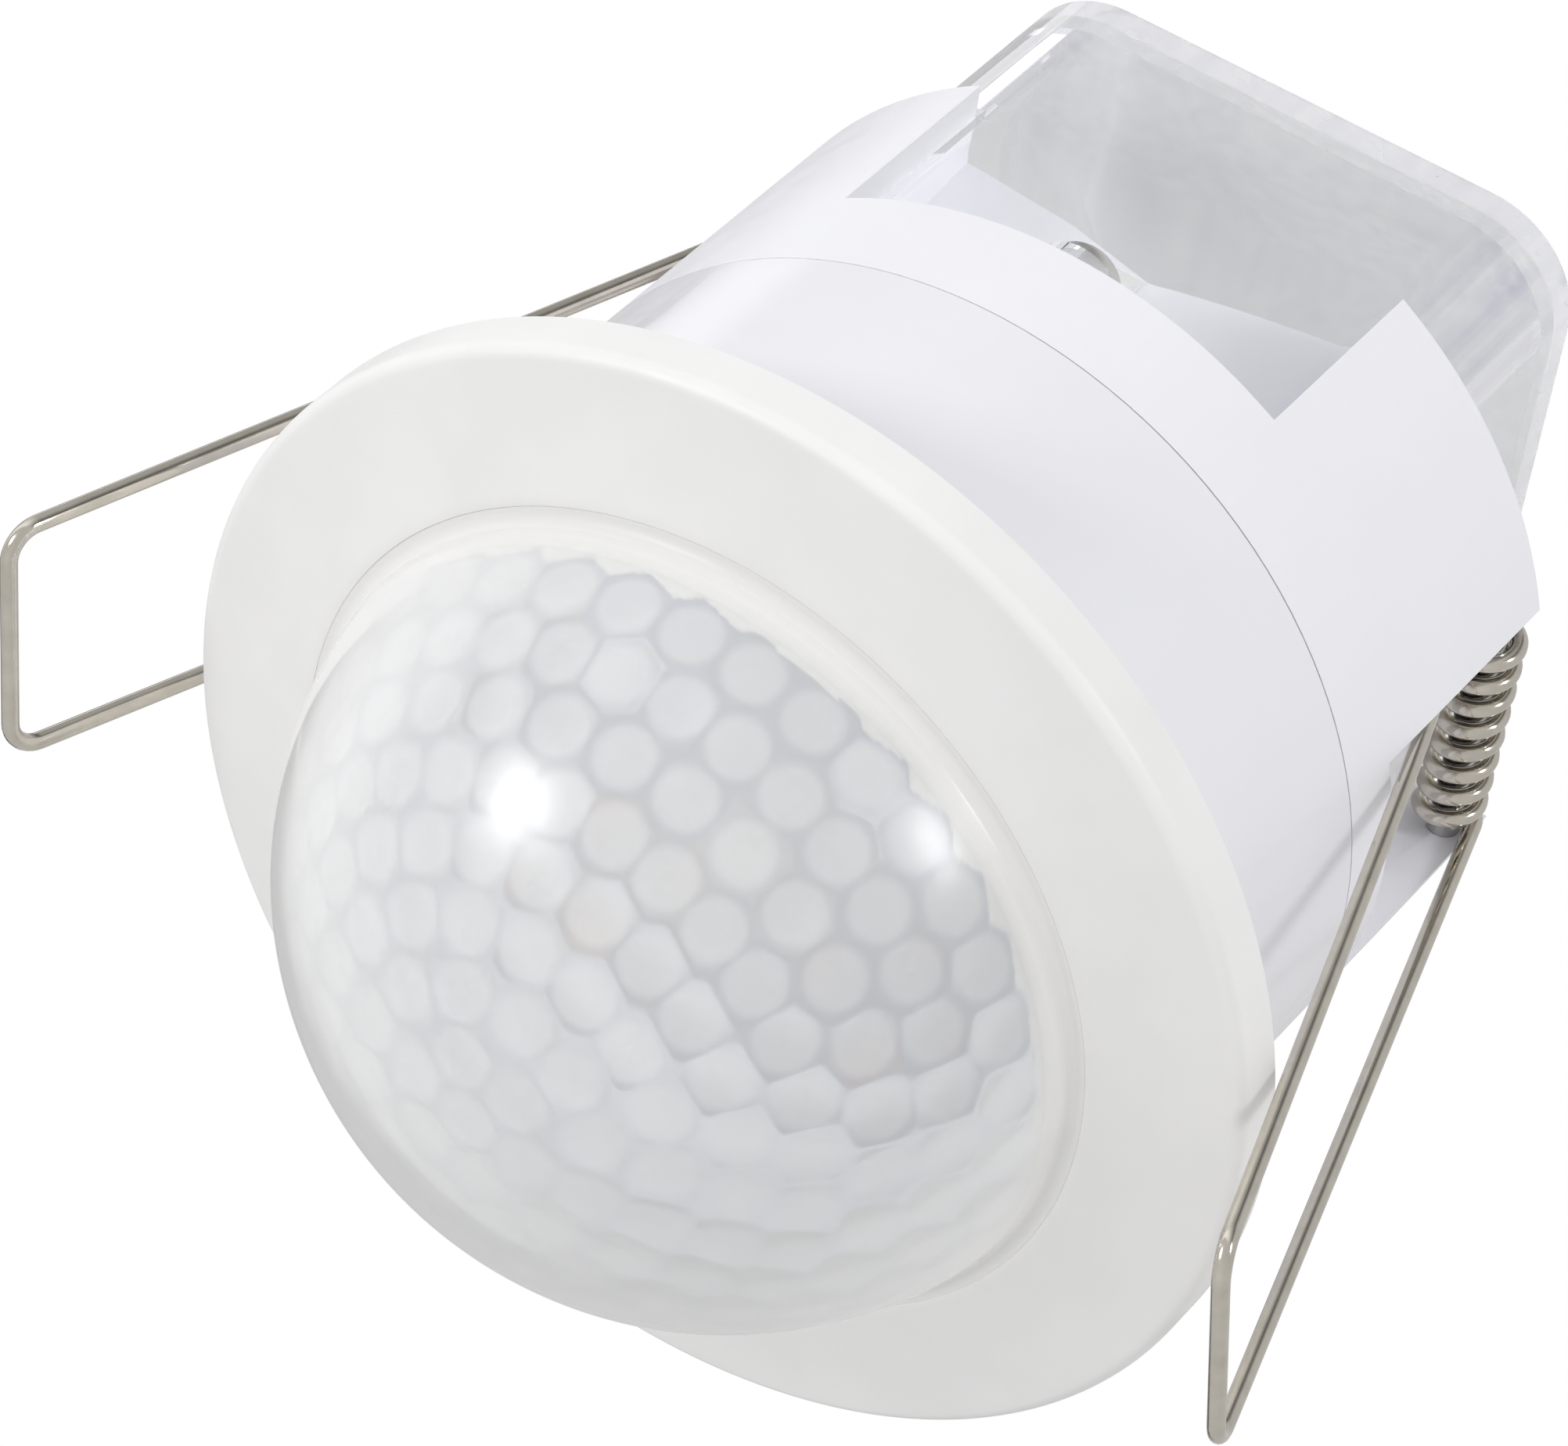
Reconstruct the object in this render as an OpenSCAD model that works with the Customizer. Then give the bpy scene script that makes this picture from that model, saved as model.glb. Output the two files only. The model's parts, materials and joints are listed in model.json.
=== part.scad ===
// Recessed ceiling motion sensor. The body goes up through a round hole in the ceiling, a trim
// ring and a domed lens stay below it, and two sprung wire clips hold it there.
// Millimetres, +Z up. The origin is the centre of the face that rests against the ceiling.

/* [Trim ring] */
// Outside radius of the trim ring
ring_r = 39; // [38.5:0.1:40]
// How far the rim hangs below the ceiling
rim_drop = 3.95; // [3.8:0.05:4.2]
// Radius of the mouth around the lens
mouth_r = 28.95; // [28.9:0.05:29.1]
// How far the mouth of the ring hangs below the ceiling
mouth_drop = 5.45; // [5.4:0.05:5.7]

/* [Lens] */
// Outside radius of the dome
dome_r = 28.4; // [28.3:0.05:28.45]
// Depth of the dome's centre below the ceiling
dome_drop = 0.65; // [0.5:0.05:0.8]
// Wall of the dome
dome_wall = 1.2; // [0.8:0.1:1.6]

/* [Housing] */
// Outside radius of the body
body_r = 31.4; // [31.2:0.05:31.5]
// Height of the joint between the front and rear shells
seam_z = 21.95; // [21.5:0.05:22.2]
// Height of the ledge in the two side cut-outs
ledge_z = 30.1; // [29.8:0.1:30.5]
// Height of the rear end of the shells
rear_z = 46; // [45.5:0.1:46.5]
// Half width of the cut-outs
cutout_half = 16; // [15.9:0.05:16.2]
// Distance of the cut-outs' flat walls from the middle
core_half = 18.5; // [18.3:0.1:18.7]
// Wall thickness of the shells
wall = 2; // [1.8:0.1:2.2]

/* [Clear terminal cover] */
// Half width of the cover
cover_x = 21.3; // [21:0.1:21.6]
// Half depth of the cover
cover_y = 25.3; // [25.1:0.1:25.5]
// Height of the cover's end
cover_z = 61.6; // [61:0.1:63]
// Radius of the cover's long corners
cover_corner = 7.2; // [6:0.2:8]
// Wall of the cover
cover_wall = 2.2; // [2:0.1:2.4]

/* [Spring clips] */
// Diameter of the spring wire
wire_d = 1.3; // [1.1:0.05:1.35]
// Turns in each coil
coil_turns = 8; // [6:1:8]
// Radius of the coil, measured at the wire's centre
coil_r = 1.9; // [1.85:0.05:1.95]
// Extra outward swing of the left clip at rest, in degrees
left_swing = 2; // [0:0.5:3]

/* [Hidden] */

$fn = 96;
eps = 0.02;

// Colours
warm_white = [0.93, 0.92, 0.90];
cool_white = [0.90, 0.90, 0.94];
clear_plastic = [0.80, 0.82, 0.84, 0.45];
nickel = [0.68, 0.65, 0.60];
steel = [0.62, 0.63, 0.65];
board_green = [0.10, 0.32, 0.20];
black_part = [0.09, 0.09, 0.10];

// Trim ring and lens
rim_wall = 1.9;
edge_r = 0.7;
lens_flange_r = 33.5;
lens_flange = 1.55;
lip = 1.75;
lens_flange_top = -2.05;
collar_gap = 0.1;

// Front shell
ceiling_flange_r = ring_r - rim_wall - 0.2;
ceiling_flange = 1.9;
bore_r = body_r - wall;
shroud_z = 2.2;
shroud = 1.4;
shroud_opening = 20;
lens_room_r = 28.3;

// Sensor board
board = 1.6;
sensor_board_z = shroud_z + shroud + 1;
sensor_board_r = 26;
sensor_screw_r = 23;
sensor_screw_angles = [90, 210, 330];
trimmer_x = 9;
trimmer_y = -10.5;
trimmer_size = 6.6;
trimmer_h = 3.4;

// Rear shell
seam_gap = 0.1;
spigot_r = bore_r - 0.1;
spigot_in_r = 27.9;
spigot_h = 4;
shoulder = 2;
pocket_half = 9.1;
pocket_floor_z = 26.8;
pocket_x = 27.3;
pocket_deep_x = 24.4;
pocket_deep_z = 36.8;
opening_x = 18.6;
opening_y = core_half - wall;

// Power board
power_board_z = seam_z + 0.65;
power_board_r = 27.2;
power_screw_x = 9;
power_screw_y = 21.5;

// Cover screws stand on the cover's feet
cover_screw_y = 27.4;
foot_h = 1.8;
foot_gap = 0.1;
tongue_half = cutout_half - 0.6;

// Cable
cable_r = 4.2;
cable_z = rear_z + cable_r + 0.3;
clamp_z = rear_z + 6.4;
clamp_h = 4;
clamp_screw = [9, 20.6];

// Mains terminals
terminal_pitch = 6.4;
terminal_z = power_board_z + board;
terminal_h = 13;
terminal_x = [for (i = [-1.5:1:1.5]) i * terminal_pitch];

// Spring clip, drawn for the right side and swung about its pin
pin_r = 1.1;
pin_x = 28.3;
pin_z = 43.2;
leg_y = 8.3;
straight_tip = [45.6, -14];
bent_tip = [43.8, -15.6];
bend_at = [31, 28];
corner_r = 2.2;
wire_sides = 8;
steps_per_turn = 16;
corner_steps = 4;

function arc(cx, cy, r, a0, a1, n) =
    [for (i = [0:n]) let (a = a0 + (a1 - a0) * i / n) [cx + r * cos(a), cy + r * sin(a)]];

module box(x0, x1, y0, y1, z0, z1) {
    translate([x0, y0, z0]) cube([x1 - x0, y1 - y0, z1 - z0]);
}

// A cross-slotted pan-head screw. The head's seat is at z = 0 and the shank goes down.
module pan_screw(head_r, head_h, shank_r, shank) {
    difference() {
        rotate_extrude() polygon(concat(
            [[0, -shank], [shank_r * 0.7, -shank], [shank_r, -shank + 0.6], [shank_r, 0], [head_r, 0]],
            arc(head_r - head_h * 0.6, head_h * 0.4, head_h * 0.6, 0, 90, 6), [[0, head_h]]));
        for (a = [0, 90]) rotate(a) translate([-head_r * 0.62, -0.3, head_h * 0.45])
            cube([head_r * 1.24, 0.6, head_h]);
    }
}

// ---- Trim ring and lens ----

module trim_ring() {
    color(warm_white) {
        rotate_extrude($fn = 160) polygon(concat(
            [[ring_r - rim_wall, 0], [ring_r, 0]],
            arc(ring_r - edge_r, -rim_drop + edge_r, edge_r, 0, -90, 6),
            [[mouth_r + 0.35, -mouth_drop]],
            arc(mouth_r + 0.35, -mouth_drop + 0.35, 0.35, -90, -180, 4),
            [[mouth_r, -mouth_drop + lip], [lens_flange_r + 0.2, -mouth_drop + lip],
             [lens_flange_r + 0.2, -2.55], [ring_r - rim_wall, -2.55]]));
        // Crush ribs that grip the front shell's flange
        for (a = [45:90:315]) rotate(a) translate([ring_r - rim_wall + 0.35, 0, -2])
            cylinder(r = 0.5, h = 1.6, $fn = 24);
    }
}

module dome_lens() {
    color(warm_white) difference() {
        union() {
            intersection() {
                translate([0, 0, -dome_drop]) sphere(r = dome_r);
                translate([0, 0, -40]) cylinder(r = 40, h = 40 - mouth_drop + 0.8);
            }
            translate([0, 0, -mouth_drop + 0.25])
                cylinder(r = mouth_r - collar_gap, h = mouth_drop + lens_flange_top - 0.25);
            translate([0, 0, lens_flange_top - lens_flange])
                cylinder(r = lens_flange_r, h = lens_flange);
        }
        translate([0, 0, -dome_drop]) sphere(r = dome_r - dome_wall);
        translate([0, 0, -dome_drop - 3]) cylinder(r = dome_r - dome_wall - 0.25, h = 6);
    }
}

// ---- Front shell ----

module front_housing() {
    color(cool_white) difference() {
        union() {
            cylinder(r = body_r, h = seam_z - seam_gap / 2);
            translate([0, 0, -ceiling_flange]) cylinder(r = ceiling_flange_r, h = ceiling_flange);
        }
        translate([0, 0, -ceiling_flange - eps])
            cylinder(r = lens_room_r, h = ceiling_flange + shroud_z + eps);
        translate([0, 0, shroud_z - eps]) cylinder(r = shroud_opening, h = shroud + 2 * eps);
        difference() {
            translate([0, 0, shroud_z + shroud]) cylinder(r = bore_r, h = seam_z);
            for (a = sensor_screw_angles) rotate(a) translate([sensor_screw_r, 0, 0])
                cylinder(r = 2.6, h = sensor_board_z, $fn = 32);
        }
        for (a = sensor_screw_angles) rotate(a) translate([sensor_screw_r, 0, shroud_z + 0.4])
            cylinder(r = 0.95, h = 10, $fn = 32);
    }
}

// ---- Rear shell ----

module wing_outline() {
    intersection() {
        cylinder(r = body_r, h = rear_z);
        union() {
            for (s = [-1, 1]) scale([s, 1, 1])
                box(cutout_half, 40, -40, 40, seam_z + 2, rear_z);
            box(-cutout_half - 1, cutout_half + 1, -core_half, core_half, seam_z + 2, rear_z);
        }
    }
}

module rear_hollow() {
    translate([0, 0, seam_z - spigot_h - eps]) cylinder(r = spigot_in_r, h = spigot_h + shoulder + eps);
    difference() {
        translate([0, 0, seam_z + shoulder - eps])
            cylinder(r = bore_r, h = ledge_z - wall - seam_z - shoulder + eps);
        for (s = [-1, 1]) scale([s, 1, 1])
            box(pocket_deep_x - wall, 40, -pocket_half - wall, pocket_half + wall,
                pocket_floor_z - wall, rear_z);
        for (s = [-1, 1]) translate([0, s * cover_screw_y, power_board_z + board + 0.2])
            cylinder(r = 3, h = 10, $fn = 48);
        for (x = [-1, 1], y = [-1, 1])
            translate([x * power_screw_x, y * power_screw_y, power_board_z + board])
                cylinder(r = 2.4, h = 10, $fn = 32);
    }
    box(-pocket_deep_x + wall, pocket_deep_x - wall, -opening_y, opening_y,
        seam_z + shoulder, rear_z - wall);
    box(-opening_x, opening_x, -opening_y, opening_y, rear_z - wall - eps, rear_z + eps);
    for (s = [-1, 1]) scale([s, 1, 1]) intersection() {
        translate([0, 0, seam_z]) cylinder(r = bore_r - 0.4, h = rear_z - wall - seam_z);
        union() for (t = [-1, 1]) scale([1, t, 1])
            box(cutout_half + wall, 40, pocket_half + wall, 40, seam_z + shoulder, rear_z);
    }
}

module spring_pocket() {
    rotate([90, 0, 0]) translate([0, 0, -pocket_half]) linear_extrude(2 * pocket_half) polygon([
        [pocket_x, pocket_floor_z + 1.4], [pocket_x + 1.6, pocket_floor_z], [40, pocket_floor_z],
        [40, rear_z + 1], [pocket_deep_x, rear_z + 1], [pocket_deep_x, pocket_deep_z],
        [pocket_x, pocket_deep_z]]);
    translate([pin_x, 10.7, pin_z]) rotate([90, 0, 0]) cylinder(r = pin_r, h = 21.4, $fn = 48);
}

module rear_housing() {
    color(cool_white) difference() {
        union() {
            translate([0, 0, seam_z + seam_gap / 2])
                cylinder(r = body_r, h = ledge_z - seam_z - seam_gap / 2);
            translate([0, 0, seam_z - spigot_h]) cylinder(r = spigot_r, h = spigot_h + 1);
            wing_outline();
        }
        rear_hollow();
        spring_pocket();
        mirror([1, 0, 0]) spring_pocket();
        for (s = [-1, 1]) translate([0, s * cover_screw_y, power_board_z + board + 0.6])
            cylinder(r = 1.35, h = 10, $fn = 32);
        for (x = [-1, 1], y = [-1, 1])
            translate([x * power_screw_x, y * power_screw_y, power_board_z + board - eps])
                cylinder(r = 0.95, h = 3.4, $fn = 32);
        for (s = [-1, 1]) translate([s * clamp_screw[0], clamp_screw[1], rear_z - wall - eps])
            cylinder(r = 1.2, h = wall + 2 * eps, $fn = 32);
    }
}

// ---- Clear terminal cover ----

module rounded_plan(x, y, r) {
    for (s = [-1, 1]) {
        translate([s * (x - r), y - r]) circle(r = r);
        translate([s * (x - r), -y + r]) circle(r = r);
    }
    square([2 * x, 2 * (y - r)], center = true);
    square([2 * (x - r), 2 * y], center = true);
}

module cover_tongue() {
    box(-tongue_half, tongue_half, -cover_y, -cover_y + cover_wall, ledge_z + foot_gap, rear_z + 1);
    translate([0, -cover_screw_y, ledge_z + foot_gap]) cylinder(r = 3.3, h = foot_h, $fn = 64);
    box(-3.3, 3.3, -cover_screw_y, -cover_y + 0.5, ledge_z + foot_gap, ledge_z + foot_gap + foot_h);
}

module terminal_cover() {
    color(clear_plastic) difference() {
        union() {
            translate([0, 0, rear_z + 0.1]) linear_extrude(cover_z - rear_z - 0.1)
                rounded_plan(cover_x, cover_y, cover_corner);
            cover_tongue();
            mirror([0, 1, 0]) cover_tongue();
        }
        translate([0, 0, rear_z]) linear_extrude(cover_z - rear_z - 2.6)
            rounded_plan(cover_x - cover_wall, cover_y - cover_wall, cover_corner - cover_wall);
        for (s = [-1, 1]) translate([0, s * cover_screw_y, 25]) {
            cylinder(r = 1.35, h = 10, $fn = 32);
            translate([0, 0, ledge_z + foot_gap + foot_h - 25]) cylinder(r = 3, h = 6, $fn = 48);
        }
        translate([0, cover_y + 1, cable_z]) rotate([90, 0, 0]) cylinder(r = cable_r, h = cover_wall + 2);
    }
}

module cover_screws() {
    color(nickel) for (s = [-1, 1])
        translate([0, s * cover_screw_y, ledge_z + foot_gap + foot_h]) pan_screw(2.75, 2, 1.25, 6);
}

// ---- Spring clips ----

function unit(v) = v / norm(v);
function at_y(p, y) = [p[0], y, p[1]];

// Points of a round corner at b, between the straight runs from a and to c
function corner(a, b, c, r, n) =
    let (u = unit(a - b), v = unit(c - b), half = acos(u * v) / 2,
         cut = r / tan(half), mid = b + unit(u + v) * r / sin(half),
         p = b + u * cut, q = b + v * cut, turn = 180 - 2 * half,
         e1 = unit(p - mid), e2 = unit((q - mid) - ((q - mid) * e1) * e1))
    [for (i = [0:n]) let (t = turn * i / n) mid + r * (cos(t) * e1 + sin(t) * e2)];

// Where a straight run to the point p leaves the coil: side is 1 on the outer side, -1 inside
function tangent_angle(p, side) =
    let (d = [p[0] - pin_x, p[1] - pin_z]) atan2(d[1], d[0]) + side * acos(coil_r / norm(d));

a_in = tangent_angle(bend_at, -1);
a_out = tangent_angle(straight_tip, 1);
coil_sweep = -(360 * coil_turns + ((a_in - a_out) % 360 + 360) % 360);
coil_steps = round(-coil_sweep / 360 * steps_per_turn);

function coil_point(i) =
    let (t = i / coil_steps, a = a_in + coil_sweep * t)
    [pin_x + coil_r * cos(a), -leg_y + 2 * leg_y * t, pin_z + coil_r * sin(a)];

inward = unit([-1, 0, -0.3]);
tip_s = at_y(straight_tip, leg_y);
tip_b = at_y(bent_tip, -leg_y);
bend_p = at_y(bend_at, -leg_y);
coil_start = coil_point(0);
coil_end = coil_point(coil_steps);
frame_points = concat(
    [coil_end + (tip_s - coil_end) * 0.02],
    corner(coil_end, tip_s, tip_b, corner_r, corner_steps),
    corner(tip_s, tip_b, bend_p, corner_r, corner_steps),
    corner(tip_b, bend_p, coil_start, corner_r, 3));
coil_points = [for (i = [0:coil_steps]) coil_point(i)];
wire_points = concat(frame_points, coil_points);
frame_count = len(frame_points);

function wire_tangent(i) =
    let (n = len(wire_points))
    unit(wire_points[(i + 1) % n] - wire_points[(i + n - 1) % n]);

function wire_normal(i) =
    let (t = wire_tangent(i),
         radial = i < frame_count ? inward
                : wire_points[i] - [pin_x, wire_points[i][1], pin_z])
    unit(radial - (radial * t) * t);

// One closed wire: down the straight leg, across, up the bent leg and round the coil. The
// wall's points come back half a turn round, so the last ring joins the first with that shift.
module clip_wire() {
    n = len(wire_points);
    m = wire_sides;
    points = [for (i = [0:n - 1]) let (t = wire_tangent(i), u = wire_normal(i), v = cross(t, u))
        for (k = [0:m - 1]) wire_points[i] + wire_d / 2 * (cos(360 * k / m) * u + sin(360 * k / m) * v)];
    faces = [for (i = [0:n - 1], k = [0:m - 1]) let (
            j = (i + 1) % n, shift = i == n - 1 ? m / 2 : 0,
            a = i * m + k, b = i * m + (k + 1) % m,
            c = j * m + (k + 1 + shift) % m, d = j * m + (k + shift) % m)
        each [[a, b, c], [a, c, d]]];
    polyhedron(points, faces, convexity = 10);
}

module spring_clip_right() {
    color(nickel) clip_wire();
}

module spring_clip_left() {
    color(nickel) rotate([0, 0, 180]) translate([pin_x, 0, pin_z]) rotate([0, -left_swing, 0])
        translate([-pin_x, 0, -pin_z]) clip_wire();
}

module spring_pin() {
    translate([pin_x, 10.7, pin_z]) rotate([90, 0, 0]) cylinder(r = pin_r, h = 21.4, $fn = 48);
}

module spring_pin_right() {
    color(steel) spring_pin();
}

module spring_pin_left() {
    color(steel) mirror([1, 0, 0]) spring_pin();
}

// ---- Sensor board ----

module sensor_board() {
    color(board_green) difference() {
        translate([0, 0, sensor_board_z]) cylinder(r = sensor_board_r, h = board);
        for (a = sensor_screw_angles) rotate(a) translate([sensor_screw_r, 0, 0])
            cylinder(r = 1.1, h = 10, $fn = 32);
    }
}

module sensor_board_screws() {
    color(steel) for (a = sensor_screw_angles) rotate(a)
        translate([sensor_screw_r, 0, sensor_board_z + board]) pan_screw(2, 1.3, 0.95, 3.4);
}

module infrared_sensor() {
    color([0.75, 0.74, 0.70]) difference() {
        union() {
            translate([0, 0, sensor_board_z - 0.6]) cylinder(r = 4.65, h = 0.6);
            translate([0, 0, sensor_board_z - 4.2]) cylinder(r = 4.15, h = 4.2);
        }
        box(-2.1, 2.1, -1.6, 1.6, sensor_board_z - 5, sensor_board_z - 3.6);
    }
}

module infrared_window() {
    color([0.18, 0.16, 0.20]) box(-2.1, 2.1, -1.6, 1.6, sensor_board_z - 4.15, sensor_board_z - 3.6);
}

module light_sensor() {
    color([0.80, 0.45, 0.30]) {
        translate([-9.5, 8.5, sensor_board_z - 3.2]) cylinder(r = 2.5, h = 2, $fn = 48);
        for (s = [-1, 1]) translate([-9.5 + s * 1.7, 8.5, sensor_board_z - 1.2 - eps])
            cylinder(r = 0.3, h = 1.2 + eps, $fn = 16);
    }
}

module indicator_led() {
    color([0.85, 0.15, 0.12]) translate([9.5, 8.5, 0]) {
        translate([0, 0, sensor_board_z - 0.9]) cylinder(r = 1.9, h = 0.9, $fn = 48);
        translate([0, 0, sensor_board_z - 2.6]) cylinder(r = 1.5, h = 2.6, $fn = 48);
        translate([0, 0, sensor_board_z - 2.6]) sphere(r = 1.5, $fn = 48);
    }
}

module trimmer_housings() {
    color([0.25, 0.35, 0.62]) for (s = [-1, 1]) translate([s * trimmer_x, trimmer_y, 0]) difference() {
        translate([-trimmer_size / 2, -trimmer_size / 2, sensor_board_z - trimmer_h])
            cube([trimmer_size, trimmer_size, trimmer_h]);
        translate([0, 0, sensor_board_z - trimmer_h - eps]) cylinder(r = 2.55, h = 1.2 + eps, $fn = 48);
    }
}

module trimmer_rotor() {
    difference() {
        union() {
            translate([0, 0, -0.9]) cylinder(r = 2.3, h = 2.05, $fn = 48);
            translate([0, 0, -0.9]) rotate(90) box(-0.35, 0.35, 2.2, 2.9, 0, 0.7);
        }
        box(-1.8, 1.8, -0.4, 0.4, -1, -0.1);
        box(-0.4, 0.4, -1.8, 1.8, -1, -0.1);
    }
}

module time_trimmer() {
    color("white") translate([-trimmer_x, trimmer_y, sensor_board_z - trimmer_h]) trimmer_rotor();
}

module light_trimmer() {
    color("white") translate([trimmer_x, trimmer_y, sensor_board_z - trimmer_h]) trimmer_rotor();
}

module sensor_chip() {
    color(black_part) {
        box(-5, 5, -2, 2, sensor_board_z + board + 0.1, sensor_board_z + board + 1.6);
        for (x = [-4.4:1.27:4.5], s = [-1, 1])
            translate([x - 0.2, s > 0 ? 1.9 : -3, sensor_board_z + board]) cube([0.4, 1.1, 0.5]);
    }
}

// ---- Link between the boards ----

module link_header() {
    color(black_part) difference() {
        box(-7.6, 7.6, 16.2, 18.8, sensor_board_z + board, sensor_board_z + board + 8.5);
        for (x = [-6.35:2.54:6.4])
            box(x - 0.4, x + 0.4, 17.1, 17.9, sensor_board_z + board + 2, sensor_board_z + board + 9);
    }
}

module link_pins() {
    color("gold") for (x = [-6.35:2.54:6.4])
        box(x - 0.32, x + 0.32, 17.18, 17.82, sensor_board_z + board + 3, power_board_z + board + 0.8);
}

// ---- Power board and its parts ----

module power_board() {
    color(board_green) difference() {
        translate([0, 0, power_board_z]) cylinder(r = power_board_r, h = board);
        for (x = [-1, 1], y = [-1, 1]) translate([x * power_screw_x, y * power_screw_y, power_board_z - 1])
            cylinder(r = 1.1, h = 4, $fn = 32);
        for (x = [-6.35:2.54:6.4]) box(x - 0.4, x + 0.4, 17.1, 17.9, power_board_z - 1, power_board_z + 3);
    }
}

module power_board_screws() {
    color(steel) for (x = [-1, 1], y = [-1, 1])
        translate([x * power_screw_x, y * power_screw_y, power_board_z]) mirror([0, 0, 1])
            pan_screw(2, 1.3, 0.95, 4.6);
}

module relay() {
    color([0.10, 0.22, 0.45]) box(-19, -3.5, -9.5, 9.5, power_board_z - 14.6, power_board_z);
}

module dropper_capacitor() {
    color([0.85, 0.70, 0.25]) box(0, 6.5, -9, 9, power_board_z - 12, power_board_z);
}

module smoothing_capacitors() {
    color([0.10, 0.12, 0.22]) for (s = [-1, 1]) translate([14, s * 11, power_board_z - 11.5])
        difference() {
            cylinder(r = 4, h = 11.5, $fn = 64);
            translate([0, 0, 9.6]) rotate_extrude($fn = 64) translate([4.2, 0]) circle(r = 0.55, $fn = 24);
        }
}

module surge_disc() {
    color([0.20, 0.35, 0.65]) translate([14, 0, power_board_z - 6.4]) {
        rotate([0, 90, 0]) translate([0, 0, -1.7]) cylinder(r = 5, h = 3.4, $fn = 64);
        for (s = [-1, 1]) translate([0, s * 2.5, 0]) cylinder(r = 0.4, h = 6.4, $fn = 16);
    }
}

module fusible_resistor() {
    color([0.35, 0.55, 0.62]) {
        translate([20.5, -4, power_board_z - 2.4]) rotate([-90, 0, 0]) cylinder(r = 1.7, h = 8, $fn = 48);
        for (y = [-5.2, 5.2]) translate([20.5, y, power_board_z - 2.75])
            cylinder(r = 0.35, h = 2.75, $fn = 16);
        translate([20.5, -5.5, power_board_z - 2.4]) rotate([-90, 0, 0])
            cylinder(r = 0.35, h = 11, $fn = 16);
    }
}

module bridge_rectifier() {
    color(black_part) {
        box(-4.2, 4.2, -17, -11, power_board_z - 3.4, power_board_z - 0.4);
        for (x = [-2.6, 2.6], y = [-17.6, -11.1])
            translate([x - 0.4, y, power_board_z - 1.6]) cube([0.8, 0.7, 1.6]);
    }
}

// ---- Mains terminals ----

module terminal_block() {
    color([0.16, 0.42, 0.25]) difference() {
        box(-13.4, 13.4, -5.5, 5.5, terminal_z, terminal_z + terminal_h);
        box(-14, 14, -6, -3.4, terminal_z + 9.5, terminal_z + 14);
        for (x = terminal_x) {
            translate([x, 0.6, terminal_z + 6]) cylinder(r = 2.1, h = 10, $fn = 48);
            translate([x, -6, terminal_z + 4.2]) rotate([-90, 0, 0]) cylinder(r = 1.9, h = 7.5, $fn = 48);
        }
    }
}

module terminal_screws() {
    color(steel) for (x = terminal_x) translate([x, 0.6, terminal_z + 6]) difference() {
        cylinder(r = 1.9, h = 5.6, $fn = 48);
        translate([-2.2, -0.3, 4.6]) cube([4.4, 0.6, 2]);
    }
}

// ---- Cable clamp ----

module cable_clamp() {
    color(cool_white) difference() {
        box(-12, 12, 18.4, 22.8, clamp_z, clamp_z + clamp_h);
        translate([0, 17, cable_z]) rotate([-90, 0, 0]) cylinder(r = cable_r + 0.3, h = 8, $fn = 64);
        for (s = [-1, 1]) translate([s * clamp_screw[0], clamp_screw[1], rear_z])
            cylinder(r = 1.4, h = 12, $fn = 32);
    }
}

module cable_clamp_screws() {
    color(steel) for (s = [-1, 1]) translate([s * clamp_screw[0], clamp_screw[1], clamp_z + clamp_h])
        pan_screw(2.3, 1.6, 1.2, 12);
}

trim_ring();
dome_lens();
front_housing();
rear_housing();
terminal_cover();
cover_screws();
spring_clip_right();
spring_clip_left();
spring_pin_right();
spring_pin_left();
sensor_board();
sensor_board_screws();
infrared_sensor();
infrared_window();
light_sensor();
indicator_led();
trimmer_housings();
time_trimmer();
light_trimmer();
sensor_chip();
link_header();
link_pins();
power_board();
power_board_screws();
relay();
dropper_capacitor();
smoothing_capacitors();
surge_disc();
fusible_resistor();
bridge_rectifier();
terminal_block();
terminal_screws();
cable_clamp();
cable_clamp_screws();
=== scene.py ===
import json
import math

import bmesh
import bpy
import numpy as np
from mathutils import Matrix, Quaternion, Vector


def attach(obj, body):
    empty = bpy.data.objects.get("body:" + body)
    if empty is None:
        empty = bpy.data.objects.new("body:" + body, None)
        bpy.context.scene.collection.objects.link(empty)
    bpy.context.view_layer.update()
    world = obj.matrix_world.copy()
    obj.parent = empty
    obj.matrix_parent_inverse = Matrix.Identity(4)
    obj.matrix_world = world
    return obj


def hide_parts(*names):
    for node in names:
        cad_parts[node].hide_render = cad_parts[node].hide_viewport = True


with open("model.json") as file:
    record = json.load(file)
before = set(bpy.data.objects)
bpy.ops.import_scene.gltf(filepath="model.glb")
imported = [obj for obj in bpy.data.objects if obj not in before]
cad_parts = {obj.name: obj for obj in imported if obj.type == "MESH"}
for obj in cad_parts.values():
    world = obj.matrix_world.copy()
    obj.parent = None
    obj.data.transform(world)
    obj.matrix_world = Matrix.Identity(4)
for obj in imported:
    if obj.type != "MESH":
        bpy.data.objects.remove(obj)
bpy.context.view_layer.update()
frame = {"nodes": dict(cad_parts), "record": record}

MM = 0.001

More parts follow.
